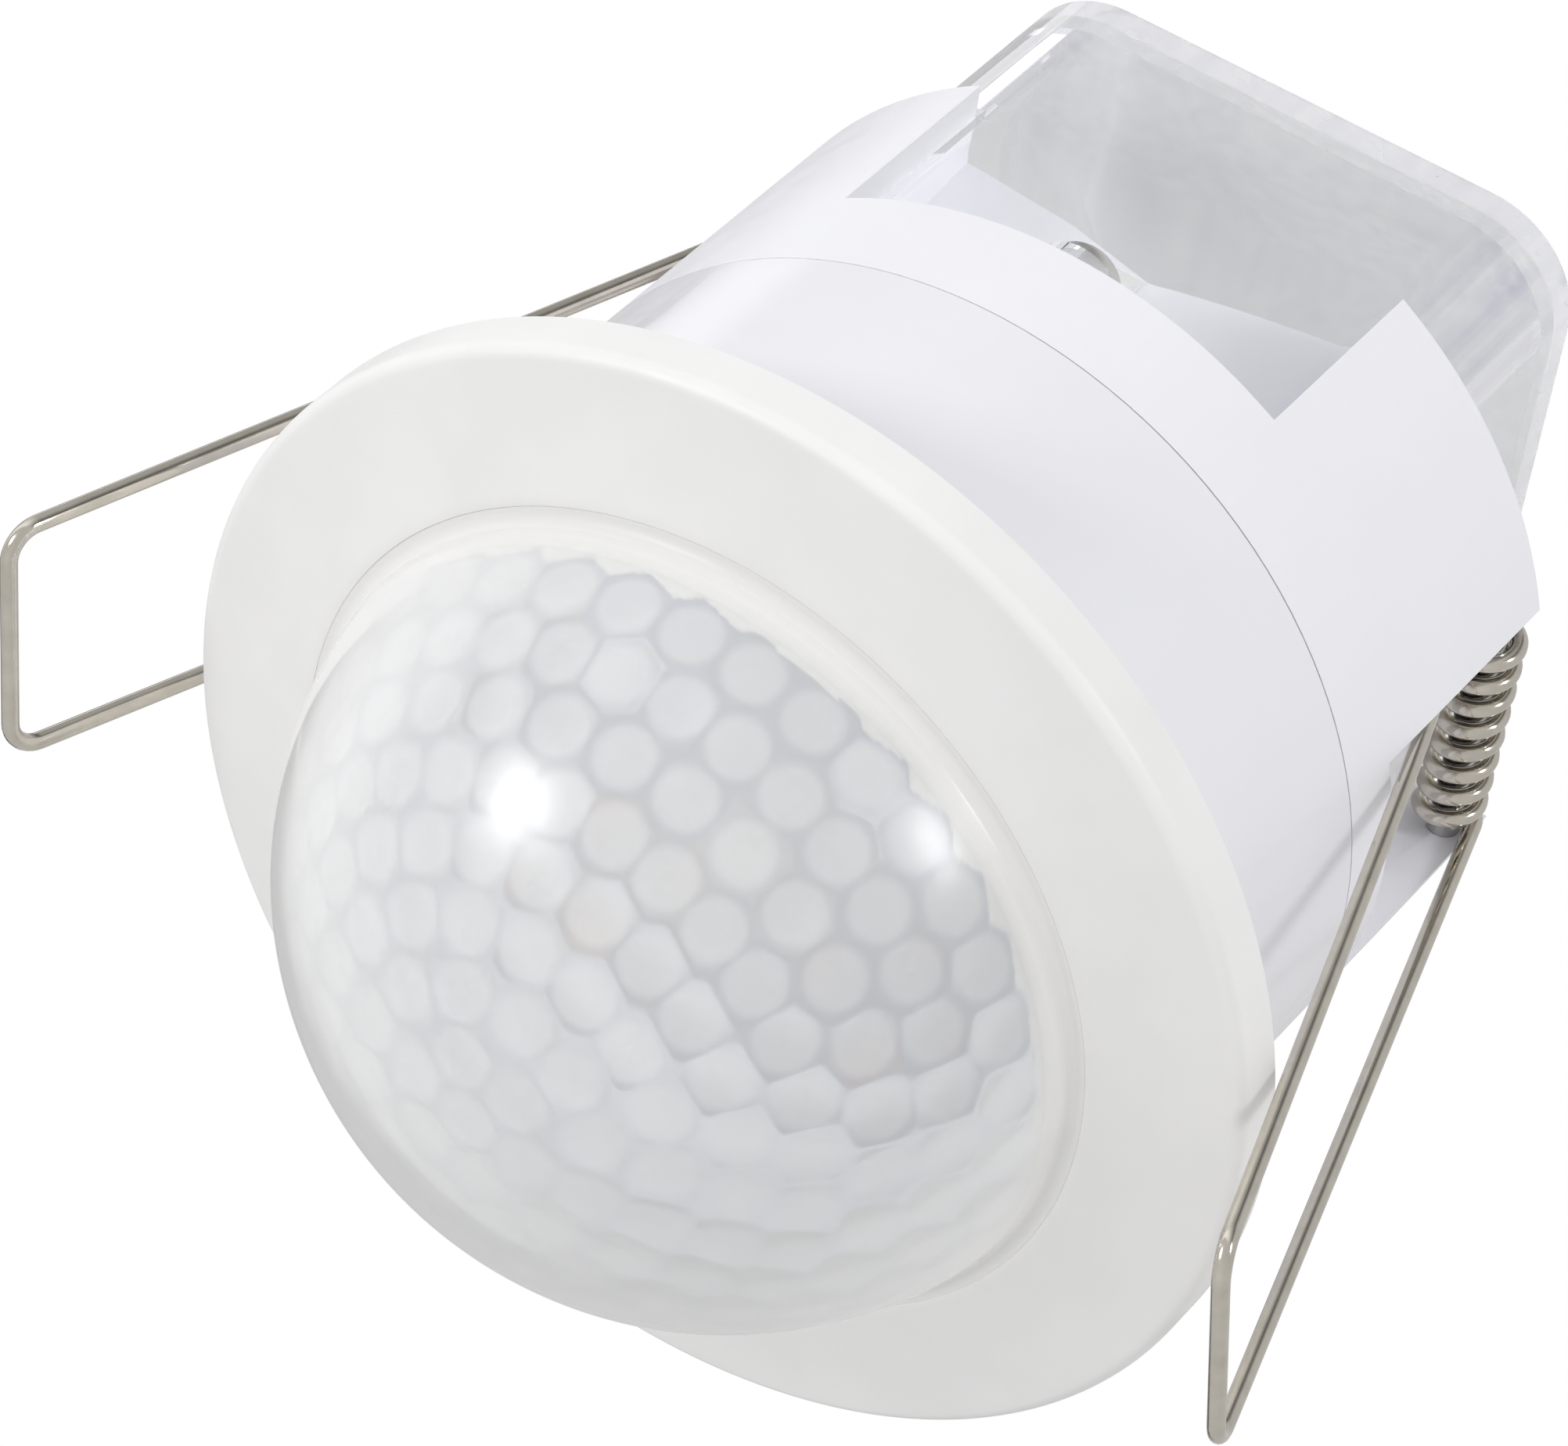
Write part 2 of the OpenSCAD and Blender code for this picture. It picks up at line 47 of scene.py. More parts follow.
# Sizes of the real object in millimetres and degrees, as the frame has them, apart from the wire,
# which is drawn a little thinner than the frame's 1.3
RING_R, RIM_DROP, MOUTH_R, MOUTH_DROP = 39.0, 3.95, 28.95, 5.45
DOME_R, DOME_DROP, DOME_WALL = 28.4, 0.65, 1.2
WIRE_D, COIL_R, COIL_TURNS = 1.16, 1.9, 8
PIN_X, PIN_Z, LEG_Y = 28.3, 43.2, 8.3
STRAIGHT_TIP, BENT_TIP, BEND_AT = (45.6, -14.0), (43.8, -15.6), (31.0, 28.0)
LEFT_SWING, LEFT_STRAIGHT_CUT, LEFT_BENT_CUT = 2.0, 0.2, 0.9
CAP_HALF_X, CAP_HALF_Y, CAP_CORNER = 21.3, 25.3, 7.2
PLATE_FROM, PLATE_FULL = 59.32, 59.42


# ---- Node materials ----

class Graph:
    """A short way to wire up one Principled material."""

    def __init__(self, name):
        self.material = bpy.data.materials.new(name)
        self.material.use_nodes = True
        self.nodes = self.material.node_tree.nodes
        self.links = self.material.node_tree.links
        self.shader = self.nodes["Principled BSDF"]
        self.where = self.nodes.new("ShaderNodeTexCoord").outputs["Object"]

    def set(self, **values):
        for name, value in values.items():
            socket = self.shader.inputs[name.replace("_", " ")]
            socket.default_value = (*value, 1) if isinstance(value, tuple) else value
        return self

    def stretched(self, scale):
        mapping = self.nodes.new("ShaderNodeMapping")
        mapping.inputs["Scale"].default_value = scale
        self.links.new(self.where, mapping.inputs["Vector"])
        return mapping.outputs["Vector"]

    def noise(self, size, detail=3.0, where=None):
        """Soft noise whose blotches are about size millimetres across."""
        node = self.nodes.new("ShaderNodeTexNoise")
        node.inputs["Scale"].default_value = 1 / (size * MM)
        node.inputs["Detail"].default_value = detail
        self.links.new(where or self.where, node.inputs["Vector"])
        return node.outputs["Fac"]

    def span(self, value, low, high, from_low=0.3, from_high=0.7):
        node = self.nodes.new("ShaderNodeMapRange")
        for name, number in (("From Min", from_low), ("From Max", from_high),
                             ("To Min", low), ("To Max", high)):
            node.inputs[name].default_value = number
        self.links.new(value, node.inputs["Value"])
        return node.outputs["Result"]

    def mix(self, factor, first, second):
        node = self.nodes.new("ShaderNodeMix")
        node.data_type = "RGBA"
        self.links.new(factor, node.inputs["Factor"])
        for socket, colour in (("A", first), ("B", second)):
            target = [s for s in node.inputs if s.name == socket and s.type == "RGBA"][0]
            if isinstance(colour, tuple):
                target.default_value = (*colour, 1)
            else:
                self.links.new(colour, target)
        return [s for s in node.outputs if s.type == "RGBA"][0]

    def math(self, operation, first, second):
        node = self.nodes.new("ShaderNodeMath")
        node.operation = operation
        for socket, value in zip(node.inputs, (first, second)):
            if isinstance(value, (int, float)):
                socket.default_value = value
            else:
                self.links.new(value, socket)
        return node.outputs["Value"]

    def attribute(self, name):
        node = self.nodes.new("ShaderNodeAttribute")
        node.attribute_name = name
        return node.outputs["Fac"]

    def drive(self, name, value):
        self.links.new(value, self.shader.inputs[name])
        return self

    def let_lamps_through(self, share, longest_path=60):
        """Lamp light passes the clear wall, so that what is behind it isn't left in shadow. A ray
        that has been thrown about inside the wall more often than longest_path leaves it."""
        rays = self.nodes.new("ShaderNodeLightPath")
        lamp = self.math("MULTIPLY", rays.outputs["Is Shadow Ray"], share)
        lost = self.math("GREATER_THAN", rays.outputs["Ray Depth"], longest_path + 0.5)
        open_air = self.nodes.new("ShaderNodeBsdfTransparent")
        pick = self.nodes.new("ShaderNodeMixShader")
        self.links.new(self.math("MAXIMUM", lamp, lost), pick.inputs["Fac"])
        self.links.new(self.shader.outputs["BSDF"], pick.inputs[1])
        self.links.new(open_air.outputs["BSDF"], pick.inputs[2])
        out = self.nodes["Material Output"]
        self.links.new(pick.outputs["Shader"], out.inputs["Surface"])
        return self

    def bump(self, height, depth):
        node = self.nodes.new("ShaderNodeBump")
        node.inputs["Distance"].default_value = depth * MM
        node.inputs["Strength"].default_value = 1.0
        self.links.new(height, node.inputs["Height"])
        self.links.new(node.outputs["Normal"], self.shader.inputs["Normal"])
        return self


def shade(colour, factor):
    return tuple(min(1.0, c * factor) for c in colour)


def moulded(name, colour, rough, grain=0.35, depth=0.004, vary=0.03, mottle=9.0, **extra):
    """Injection-moulded plastic: faint cloudiness, uneven gloss and a fine skin."""
    g = Graph(name).set(**{"IOR": 1.5, **extra})
    cloud = g.span(g.noise(mottle), 0.0, 1.0)
    g.drive("Base Color", g.mix(cloud, shade(colour, 1 - vary), shade(colour, 1 + vary * 0.4)))
    g.drive("Roughness", g.span(g.noise(2.2), rough - 0.04, rough + 0.05))
    return g.bump(g.noise(grain, 2.0), depth).material


def metal(name, colour, rough, along=(1, 1, 1), streak=0.5, depth=0.003, vary=0.12):
    """Plated or drawn metal: streaked gloss, slight staining."""
    g = Graph(name).set(Metallic=1.0)
    stain = g.span(g.noise(1.6), 0.0, 1.0)
    g.drive("Base Color", g.mix(stain, shade(colour, 1 - vary), colour))
    lines = g.noise(streak, 4.0, g.stretched(along))
    g.drive("Roughness", g.span(lines, rough - 0.05, rough + 0.07))
    return g.bump(lines, depth).material


def circuit_board(name, mask, track):
    """Solder mask over copper: broad tracks and a fine weave under the lacquer."""
    g = Graph(name).set(IOR=1.5, Roughness=0.32)
    cells = g.nodes.new("ShaderNodeTexBrick")
    for key, number in (("Scale", 1 / (9 * MM)), ("Mortar Size", 0.05), ("Brick Width", 1.1),
                        ("Row Height", 0.28)):
        cells.inputs[key].default_value = number
    g.links.new(g.where, cells.inputs["Vector"])
    tone = g.mix(cells.outputs["Fac"], mask, track)
    g.drive("Base Color", g.mix(g.span(g.noise(6.0), 0.0, 0.5), tone, shade(mask, 0.8)))
    return g.bump(g.noise(0.5, 2.0), 0.006).material


def lens_plastic(name):
    """Milky polyethylene with a soft shine. Each lens cell is whiter in its middle; the thin
    plastic between the cells lets more through and scatters blue. Painted shade darkens the
    grooves between the cells on the inside. Slanting light has further to go through the milk,
    so less of it gets through, and the shine is weaker there too."""
    g = Graph(name).set(IOR=1.51, Specular_Tint=(0.0, 0.0, 0.0), Coat_Roughness=0.25,
                        Coat_IOR=1.5)
    cloud = g.span(g.noise(5.0), 0.0, 1.0)
    milk = g.mix(cloud, (0.915, 0.914, 0.907), (0.937, 0.936, 0.93))
    milk = g.mix(g.span(g.attribute("clear"), 0, 1, 0.1, 0.4), (0.85, 0.845, 0.83), milk)
    milk = g.mix(g.span(g.attribute("clear"), 0, 1, 0.5, 0.9), milk, (0.76, 0.835, 0.96))
    # Painted shade: the colour darkens to blue-grey along the grooves between the inside's cells
    g.drive("Base Color", g.mix(g.attribute("groove_shade"), milk, (0.79, 0.82, 0.87)))
    g.drive("Roughness", g.span(g.attribute("inside"), 0.05, 0.35, 0, 1))
    slant = g.nodes.new("ShaderNodeLayerWeight")
    slant.inputs["Blend"].default_value = 0.5
    through = g.span(slant.outputs["Facing"], 1.0, 0.15, 0.3, 0.85)
    shine = g.span(slant.outputs["Facing"], 1.0, 0.3, 0.5, 0.9)
    g.drive("Coat Weight", g.math("MULTIPLY", g.span(g.attribute("inside"), 1.0, 0.0, 0, 1), shine))
    g.drive("Transmission Weight", g.math("MULTIPLY", g.attribute("clear"), through))
    g.bump(g.noise(1.1, 3.0), 0.003)
    return g.let_lamps_through(0.95).material


def clear_plastic(name):
    """Polycarbonate. Painted refraction: streaks down its long rounded corners, and across the
    cloudier end plate a pale lavender tone with streaks, stand in for light bent through the walls."""
    g = Graph(name).set(IOR=1.56, Transmission_Weight=1.0)
    cloud = g.span(g.noise(7.0), 0.0, 1.0)
    place = g.nodes.new("ShaderNodeSeparateXYZ")
    g.links.new(g.where, place.inputs["Vector"])
    in_plate = g.span(place.outputs["Z"], 0, 1, PLATE_FROM * MM, PLATE_FULL * MM)
    # Painted refraction: the end plate's pale lavender tone and the streaks across it stand in for
    # light bent through the clear plate
    streaks = g.span(g.noise(1.6, 3.0, g.stretched((1, 1, 0.03))), 0, 1)
    plate = g.mix(streaks, (0.76, 0.76, 0.85), (0.95, 0.95, 0.98))
    clear = g.mix(cloud, (0.93, 0.94, 0.95), (0.97, 0.975, 0.98))
    # Painted refraction: pale and blue-grey streaks down the long rounded corners stand in for light
    # bent through the curved clear wall. The same noise also ripples the corners' surface as a bump.
    drawn = g.noise(1.3, 2.0, g.stretched((1.0, 1.0, 0.02)))
    in_corner = g.math("MULTIPLY", *(
        g.span(g.math("ABSOLUTE", place.outputs[axis], 0.0), 0, 1, (half - CAP_CORNER) * MM,
               (half - CAP_CORNER + 2) * MM)
        for axis, half in (("X", CAP_HALF_X), ("Y", CAP_HALF_Y))))
    lines = g.mix(g.span(drawn, 0, 1, 0.42, 0.6), (0.82, 0.82, 0.88), (0.98, 0.98, 0.985))
    clear = g.mix(in_corner, clear, lines)
    g.drive("Base Color", g.mix(in_plate, clear, plate))
    g.drive("Roughness", g.span(g.noise(2.5), 0.01, 0.05))
    flow = g.noise(3.5, 1.0, g.stretched((1.0, 1.0, 0.35)))
    ripple = g.math("MULTIPLY", drawn, g.math("MULTIPLY", in_corner, 3.0))
    g.bump(g.math("ADD", flow, ripple), 0.01)
    g.drive("Alpha", g.span(in_plate, 1.0, 0.5, 0, 1))
    g.drive("Transmission Weight", g.span(in_plate, 1.0, 0.6, 0, 1))
    return g.let_lamps_through(0.97, longest_path=4).material


NICKEL = (0.70, 0.655, 0.575)
STEEL = (0.60, 0.60, 0.60)
MATERIALS = {
    "trim_plastic": moulded("trim_plastic", (0.86, 0.854, 0.85), 0.46, grain=0.25),
    "lens_plastic": lens_plastic("lens_plastic"),
    "gloss_housing": moulded("gloss_housing", (0.83, 0.83, 0.87), 0.2, grain=2.5, depth=0.002,
                             vary=0.012),
    "satin_housing": moulded("satin_housing", (0.86, 0.86, 0.90), 0.34, grain=0.9, depth=0.006,
                             vary=0.012),
    "clear_cover": clear_plastic("clear_cover"),
    "screw_nickel": metal("screw_nickel", (0.84, 0.83, 0.82), 0.36),
    "spring_nickel": metal("spring_nickel", NICKEL, 0.15, along=(1, 1, 0.08)),
    "pin_steel": metal("pin_steel", STEEL, 0.2, along=(1, 0.1, 1)),
    "board": circuit_board("board", (0.010, 0.05, 0.11), (0.02, 0.09, 0.18)),
    "screw_steel": metal("screw_steel", (0.62, 0.62, 0.64), 0.2),
    "sensor_can": metal("sensor_can", (0.74, 0.72, 0.68), 0.2, streak=1.0),
    "sensor_window": moulded("sensor_window", (0.05, 0.04, 0.06), 0.08, vary=0.1),
    "light_cell": moulded("light_cell", (0.55, 0.25, 0.12), 0.33, grain=0.4, vary=0.2, mottle=1.2),
    "led_red": moulded("led_red", (0.60, 0.03, 0.02), 0.12, vary=0.08, Transmission_Weight=0.5),
    "trimmer_blue": moulded("trimmer_blue", (0.03, 0.09, 0.36), 0.4, vary=0.08),
    "trimmer_white": moulded("trimmer_white", (0.80, 0.80, 0.78), 0.42, vary=0.05),
    "chip_black": moulded("chip_black", (0.018, 0.018, 0.02), 0.55, grain=0.18, depth=0.01, vary=0.2),
    "gold_pins": metal("gold_pins", (0.83, 0.62, 0.26), 0.2),
    "relay_blue": moulded("relay_blue", (0.02, 0.06, 0.24), 0.33, vary=0.08),
    "film_yellow": moulded("film_yellow", (0.62, 0.40, 0.04), 0.34, vary=0.06),
    "sleeve_dark": moulded("sleeve_dark", (0.02, 0.025, 0.07), 0.22, vary=0.12),
    "disc_blue": moulded("disc_blue", (0.03, 0.10, 0.32), 0.33, grain=0.9, depth=0.02, vary=0.1),
    "resistor_body": moulded("resistor_body", (0.12, 0.28, 0.32), 0.5, grain=0.4, depth=0.01),
    "terminal_green": moulded("terminal_green", (0.03, 0.16, 0.07), 0.42, grain=0.3, vary=0.06),
    "clamp_plastic": moulded("clamp_plastic", (0.82, 0.82, 0.86), 0.38, grain=0.5),
}
SLOT_OF = {entry["node"]: entry["material_slot"] for entry in frame["record"]["subparts"]}
BODY_OF = {node: body for body, members in frame["record"]["behaviour"]["bodies"].items()
           for node in members}


# ---- Mesh helpers ----

def add_piece(name, verts, faces, nodes, smooth_angle=35.0, values=None):
    """A new mesh in millimetres that stands for these CAD nodes and moves with their body."""
    mesh = bpy.data.meshes.new(name)
    mesh.from_pydata((np.asarray(verts, float) * MM).tolist(), [], faces)
    for key, numbers in (values or {}).items():
        mesh.attributes.new(key, "FLOAT", "POINT").data.foreach_set(
            "value", np.asarray(numbers, np.float32))
    return finish_piece(name, mesh, nodes, smooth_angle)


def finish_piece(name, mesh, nodes, smooth_angle=35.0):
    mesh.validate()
    mesh.polygons.foreach_set("use_smooth", [True] * len(mesh.polygons))
    mesh.set_sharp_from_angle(angle=math.radians(smooth_angle))
    slot = SLOT_OF[nodes[0]]
    mesh.materials.clear()
    mesh.materials.append(MATERIALS[slot])
    piece = bpy.data.objects.new(name, mesh)
    bpy.context.scene.collection.objects.link(piece)
    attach(piece, BODY_OF[nodes[0]])
    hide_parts(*nodes)
    return piece


def grid_faces(rows, columns, wrap_rows=False):
    """Quads of a grid whose columns close on themselves."""
    last = rows if wrap_rows else rows - 1
    return [(i * columns + j, i * columns + (j + 1) % columns,
             (i + 1) % rows * columns + (j + 1) % columns, (i + 1) % rows * columns + j)
            for i in range(last) for j in range(columns)]


def lathe(profile, columns):
    """Points of a closed outline turned about Z, with the outline's own points as rows."""
    turn = np.linspace(0, 2 * math.pi, columns, endpoint=False)
    r, z = np.asarray(profile, float).T
    x = r[:, None] * np.cos(turn)
    y = r[:, None] * np.sin(turn)
    return np.stack([x, y, np.broadcast_to(z[:, None], x.shape)], -1).reshape(-1, 3)


def arc(cx, cz, r, start, end, steps):
    """Points of an arc, with its angles in degrees."""
    return [(cx + r * math.cos(math.radians(a)), cz + r * math.sin(math.radians(a)))
            for a in np.linspace(start, end, steps + 1)]


# ---- Trim ring ----

RING_COLUMNS = 256


def trim_ring():
    """A dished ring: rounded rim, gently hollow face, rolled mouth."""
    rim = arc(RING_R - 1.0, -RIM_DROP + 1.0, 1.0, 0, -82, 10)
    mouth = arc(MOUTH_R + 0.06, -MOUTH_DROP + 0.06, 0.06, -95, -180, 4)
    a, b = np.array(rim[-1]), np.array(mouth[0])
    face = [tuple(a + (b - a) * t + np.array([0, 0.10]) * math.sin(math.pi * t))
            for t in np.linspace(0, 1, 14)[1:-1]]
    back = [(MOUTH_R, -3.7), (33.7, -3.7), (33.7, -2.55), (37.1, -2.55), (37.1, -0.15), (37.25, 0),
            (RING_R - 0.15, 0), (RING_R, -0.15)]
    profile = rim + face + mouth + back
    return add_piece("trim_ring_moulding", lathe(profile, RING_COLUMNS),
                     grid_faces(len(profile), RING_COLUMNS, True), ["trim_ring"], 38)


# ---- Lens ----

CELL_STEP = 8.9
CELL_RINGS = ((1, 0.0), (6, 13.7), (12, 13.7), (18, 13.7), (24, 13.7), (30, 13.7), (30, 19.7),
              (36, 14.4), (36, 19.4), (42, 14.4))


def cell_centres():
    """Unit vectors of the lens cells: rings round the axis, each with its count and its turn.
    The last ring is the smooth border."""
    centres = []
    for ring, (count, turn) in enumerate(CELL_RINGS):
        tilt = math.radians(ring * CELL_STEP)
        for k in range(count):
            a = math.radians(turn + 360 * k / count)
            centres.append((math.sin(tilt) * math.cos(a), math.sin(tilt) * math.sin(a),
                            -math.cos(tilt), ring < len(CELL_RINGS) - 1))
    return np.array(centres)


def cell_field(directions):
    """For each direction: how far it lies from its cell's middle and from the cell's border, in
    millimetres, and whether the cell is a moulded one."""
    centres = cell_centres()
    apart, from_border, moulded_cell = [], [], []
    for block in np.array_split(directions, max(1, len(directions) // 4000)):
        away = np.arccos(np.clip(block @ centres[:, :3].T, -1, 1)) * (DOME_R - DOME_WALL)
        order = np.argsort(away, axis=1)[:, :2]
        nearest = np.take_along_axis(away, order, 1)
        apart.append(nearest[:, 0])
        from_border.append((nearest[:, 1] - nearest[:, 0]) / 2)
        moulded_cell.append(centres[order[:, 0], 3] > 0.5)
    return np.concatenate(apart), np.concatenate(from_border), np.concatenate(moulded_cell)


def eased(t):
    t = np.clip(t, 0, 1)
    return t * t * (3 - 2 * t)


# In degrees from the tip: where the cells end, over how much they fade, and where the wall's
# inside starts. The tip itself is closed by a small face.
LENS_EDGE, EDGE_FADE, INSIDE_FROM, TIP = 75.5, 2.0, 82, 0.15
LENS_COLUMNS, OUTER_ROWS, INNER_ROWS = 560, 80, 170
ROLL_STEPS, ROLL_MATT = 8, 0.85
CELL_CROWN, CELL_R, BORDER_CROWN = 0.42, 2.5, 0.3
GAP_FROM, GAP_FADE, GROOVE_SHADE_W = 1.6, 0.65, 0.34
OUTER_CLEAR, BORDER_CLEAR, MIDDLE_CLEAR, RIM_CLEAR = 0.48, 0.88, 0.58, 0.08


def dome_point(r, angle):
    """Radius and height of a point on the dome, its angle taken from the tip in degrees."""
    a = math.radians(angle)
    return (r * math.sin(a), -DOME_DROP - r * math.cos(a))


def dome_lens():
    """One shell: a smooth outside and an inside of small domed lens cells."""
    fillet = 1.0
    fillet_z = -MOUTH_DROP + 0.01 - fillet
    fillet_r = math.sqrt((DOME_R + fillet) ** 2 - (fillet_z + DOME_DROP) ** 2)
    meet = math.degrees(math.atan2(fillet_r, -(fillet_z + DOME_DROP)))
    inner_r = DOME_R - DOME_WALL
    outer = [dome_point(DOME_R, a) for a in np.linspace(TIP, meet, OUTER_ROWS)]
    outer += arc(fillet_r, fillet_z, fillet, 90 + meet, 90, ROLL_STEPS)[1:]
    skirt = [(28.94, -MOUTH_DROP + 0.02), (28.94, -3.62), (33.35, -3.6), (33.5, -3.45),
             (33.5, -2.2), (33.35, -2.05), (27.0, -2.05), (26.95, -2.2)]
    inner = [dome_point(inner_r, a) for a in np.linspace(INSIDE_FROM, TIP, INNER_ROWS)]
    profile = outer + skirt + inner
    verts = lathe(profile, LENS_COLUMNS)
    centre = np.array([0, 0, -DOME_DROP])
    directions = verts - centre
    directions /= np.linalg.norm(directions, axis=1)[:, None]
    from_tip = np.degrees(np.arccos(-directions[:, 2]))
    clear = OUTER_CLEAR + (RIM_CLEAR - OUTER_CLEAR) * eased((from_tip - LENS_EDGE) / EDGE_FADE)
    clear[len(outer) * LENS_COLUMNS:] = RIM_CLEAR
    inside = slice((len(outer) + len(skirt)) * LENS_COLUMNS, None)
    apart, from_border, real = cell_field(directions[inside])
    crown = np.where(real, np.clip(1 - (apart / CELL_R) ** 2, 0, 1), BORDER_CROWN)
    verts[inside] = centre + directions[inside] * (inner_r - CELL_CROWN * crown)[:, None]
    gap = eased((apart - GAP_FROM) / GAP_FADE)
    clear[inside] = np.where(real, MIDDLE_CLEAR + (BORDER_CLEAR - MIDDLE_CLEAR) * gap, RIM_CLEAR)
    rows = len(profile)
    faces = grid_faces(rows, LENS_COLUMNS)
    faces.append(tuple(range(LENS_COLUMNS))[::-1])
    faces.append(tuple((rows - 1) * LENS_COLUMNS + j for j in range(LENS_COLUMNS)))
    on_inside, groove_shade = np.zeros(len(verts)), np.zeros(len(verts))
    on_inside[inside] = 1
    rolled = slice((len(outer) - ROLL_STEPS) * LENS_COLUMNS, len(outer) * LENS_COLUMNS)
    on_inside[rolled] = ROLL_MATT
    # Painted shade in the grooves between the inside's cells: full at a cell's border, fading towards
    # its middle
    groove_shade[inside] = np.where(real, 1 - eased(from_border / GROOVE_SHADE_W), 0)
    return add_piece("lens_shell", verts, faces, ["dome_lens"], 50,
                     {"clear": clear, "inside": on_inside, "groove_shade": groove_shade})


# ---- Spring clips ----

WIRE_SIDES, WIRE_BEND_R, COIL_POINTS = 16, 2.2, 40


def unit(v):
    return v / np.linalg.norm(v)


def corner(a, b, c, r, steps):
    """Points of a round corner at b, between the straight runs from a and to c."""
    u, v = unit(a - b), unit(c - b)
    half = math.acos(float(u @ v)) / 2
    middle = b + unit(u + v) * r / math.sin(half)
    p, q = b + u * r / math.tan(half), b + v * r / math.tan(half)
    e1 = unit(p - middle)
    e2 = unit((q - middle) - ((q - middle) @ e1) * e1)
    return [middle + r * (math.cos(t) * e1 + math.sin(t) * e2)
            for t in np.linspace(0, math.pi - 2 * half, steps + 1)]


def tangent_angle(p, side):
    d = np.array([p[0] - PIN_X, p[1] - PIN_Z])
    return math.atan2(d[1], d[0]) + side * math.acos(COIL_R / np.linalg.norm(d))


def clip_path(straight_cut=0.0, bent_cut=0.0):
    """The right clip's wire: straight leg, crossbar, bent leg, then round the coil. The cuts
    shorten its two legs."""
    a_in, a_out = tangent_angle(BEND_AT, -1), tangent_angle(STRAIGHT_TIP, 1)
    sweep = -(2 * math.pi * COIL_TURNS + (a_in - a_out) % (2 * math.pi))
    coil = [np.array([PIN_X + COIL_R * math.cos(a_in + sweep * t), -LEG_Y + 2 * LEG_Y * t,
                      PIN_Z + COIL_R * math.sin(a_in + sweep * t)])
            for t in np.linspace(0, 1, COIL_POINTS * COIL_TURNS)]
    tip_s = np.array([STRAIGHT_TIP[0], LEG_Y, STRAIGHT_TIP[1]])
    tip_b = np.array([BENT_TIP[0], -LEG_Y, BENT_TIP[1]])
    bend = np.array([BEND_AT[0], -LEG_Y, BEND_AT[1]])
    tip_s = tip_s + unit(coil[-1] - tip_s) * straight_cut
    tip_b = tip_b + unit(bend - tip_b) * bent_cut
    path = [coil[-1]] + [coil[-1] + (tip_s - coil[-1]) * t for t in (0.02, 0.3, 0.6, 0.9)]
    path += corner(coil[-1], tip_s, tip_b, WIRE_BEND_R, 10)
    path += corner(tip_s, tip_b, bend, WIRE_BEND_R, 10)
    path += [tip_b + (bend - tip_b) * t for t in (0.3, 0.6)]
    path += corner(tip_b, bend, coil[0], WIRE_BEND_R, 6)
    return np.array(path + coil)


def swept(path, radius, sides):
    """A round wire along the path, with capped ends."""
    along = np.gradient(path, axis=0)
    along /= np.linalg.norm(along, axis=1)[:, None]
    side = unit(np.cross(along[0], [0.3, 1.0, 0.2]))
    rings = []
    for point, t in zip(path, along):
        side = unit(side - (side @ t) * t)
        other = np.cross(t, side)
        rings += [point + radius * (math.cos(a) * side + math.sin(a) * other)
                  for a in np.linspace(0, 2 * math.pi, sides, endpoint=False)]
    faces = grid_faces(len(path), sides)
    faces.append(tuple(range(sides))[::-1])
    faces.append(tuple((len(path) - 1) * sides + j for j in range(sides)))
    return np.array(rings), faces


def spring_clips():
    """The right clip, and the left one as a turned copy with shorter legs and its own swing."""
    verts, faces = swept(clip_path(), WIRE_D / 2, WIRE_SIDES)
    add_piece("clip_wire_right", verts, faces, ["spring_clip_right"], 60)
    pin = Vector((PIN_X, 0, PIN_Z))
    turn = (Matrix.Rotation(math.pi, 4, "Z") @ Matrix.Translation(pin)
            @ Matrix.Rotation(math.radians(-LEFT_SWING), 4, "Y") @ Matrix.Translation(-pin))
    verts, faces = swept(clip_path(LEFT_STRAIGHT_CUT, LEFT_BENT_CUT), WIRE_D / 2, WIRE_SIDES)
    moved = np.array([turn @ Vector(v) for v in verts])
    add_piece("clip_wire_left", moved, faces, ["spring_clip_left"], 60)


# ---- Pieces that keep the CAD shape and get softened edges ----

WELD, FLAT_WITHIN = 0.002, 0.6
EDGE_SEGMENTS, EDGE_ANGLE = 2, 32.0


def softened(node, width):
    """The node's own shape with its edges rounded off by width millimetres."""
    bm = bmesh.new()
    bm.from_mesh(frame["nodes"][node].data)
    bmesh.ops.remove_doubles(bm, verts=bm.verts, dist=WELD * MM)
    bmesh.ops.dissolve_limit(bm, angle_limit=math.radians(FLAT_WITHIN), verts=bm.verts,
                             edges=bm.edges)
    mesh = bpy.data.meshes.new(node + "_softened")
    bm.to_mesh(mesh)
    bm.free()
    mesh.transform(Matrix.Translation((0, 0, LIFTED.get(node, 0) * MM)))
    piece = finish_piece(node + "_softened", mesh, [node], EDGE_ANGLE)
    edge = piece.modifiers.new("edges", "BEVEL")
    edge.width, edge.segments = width * MM, EDGE_SEGMENTS
    edge.limit_method, edge.angle_limit = "ANGLE", math.radians(EDGE_ANGLE)
    edge.harden_normals = True
    return piece


# A hair of air under these, so that the clear part below doesn't share a face with them
LIFTED = {"cover_screws": 0.02}

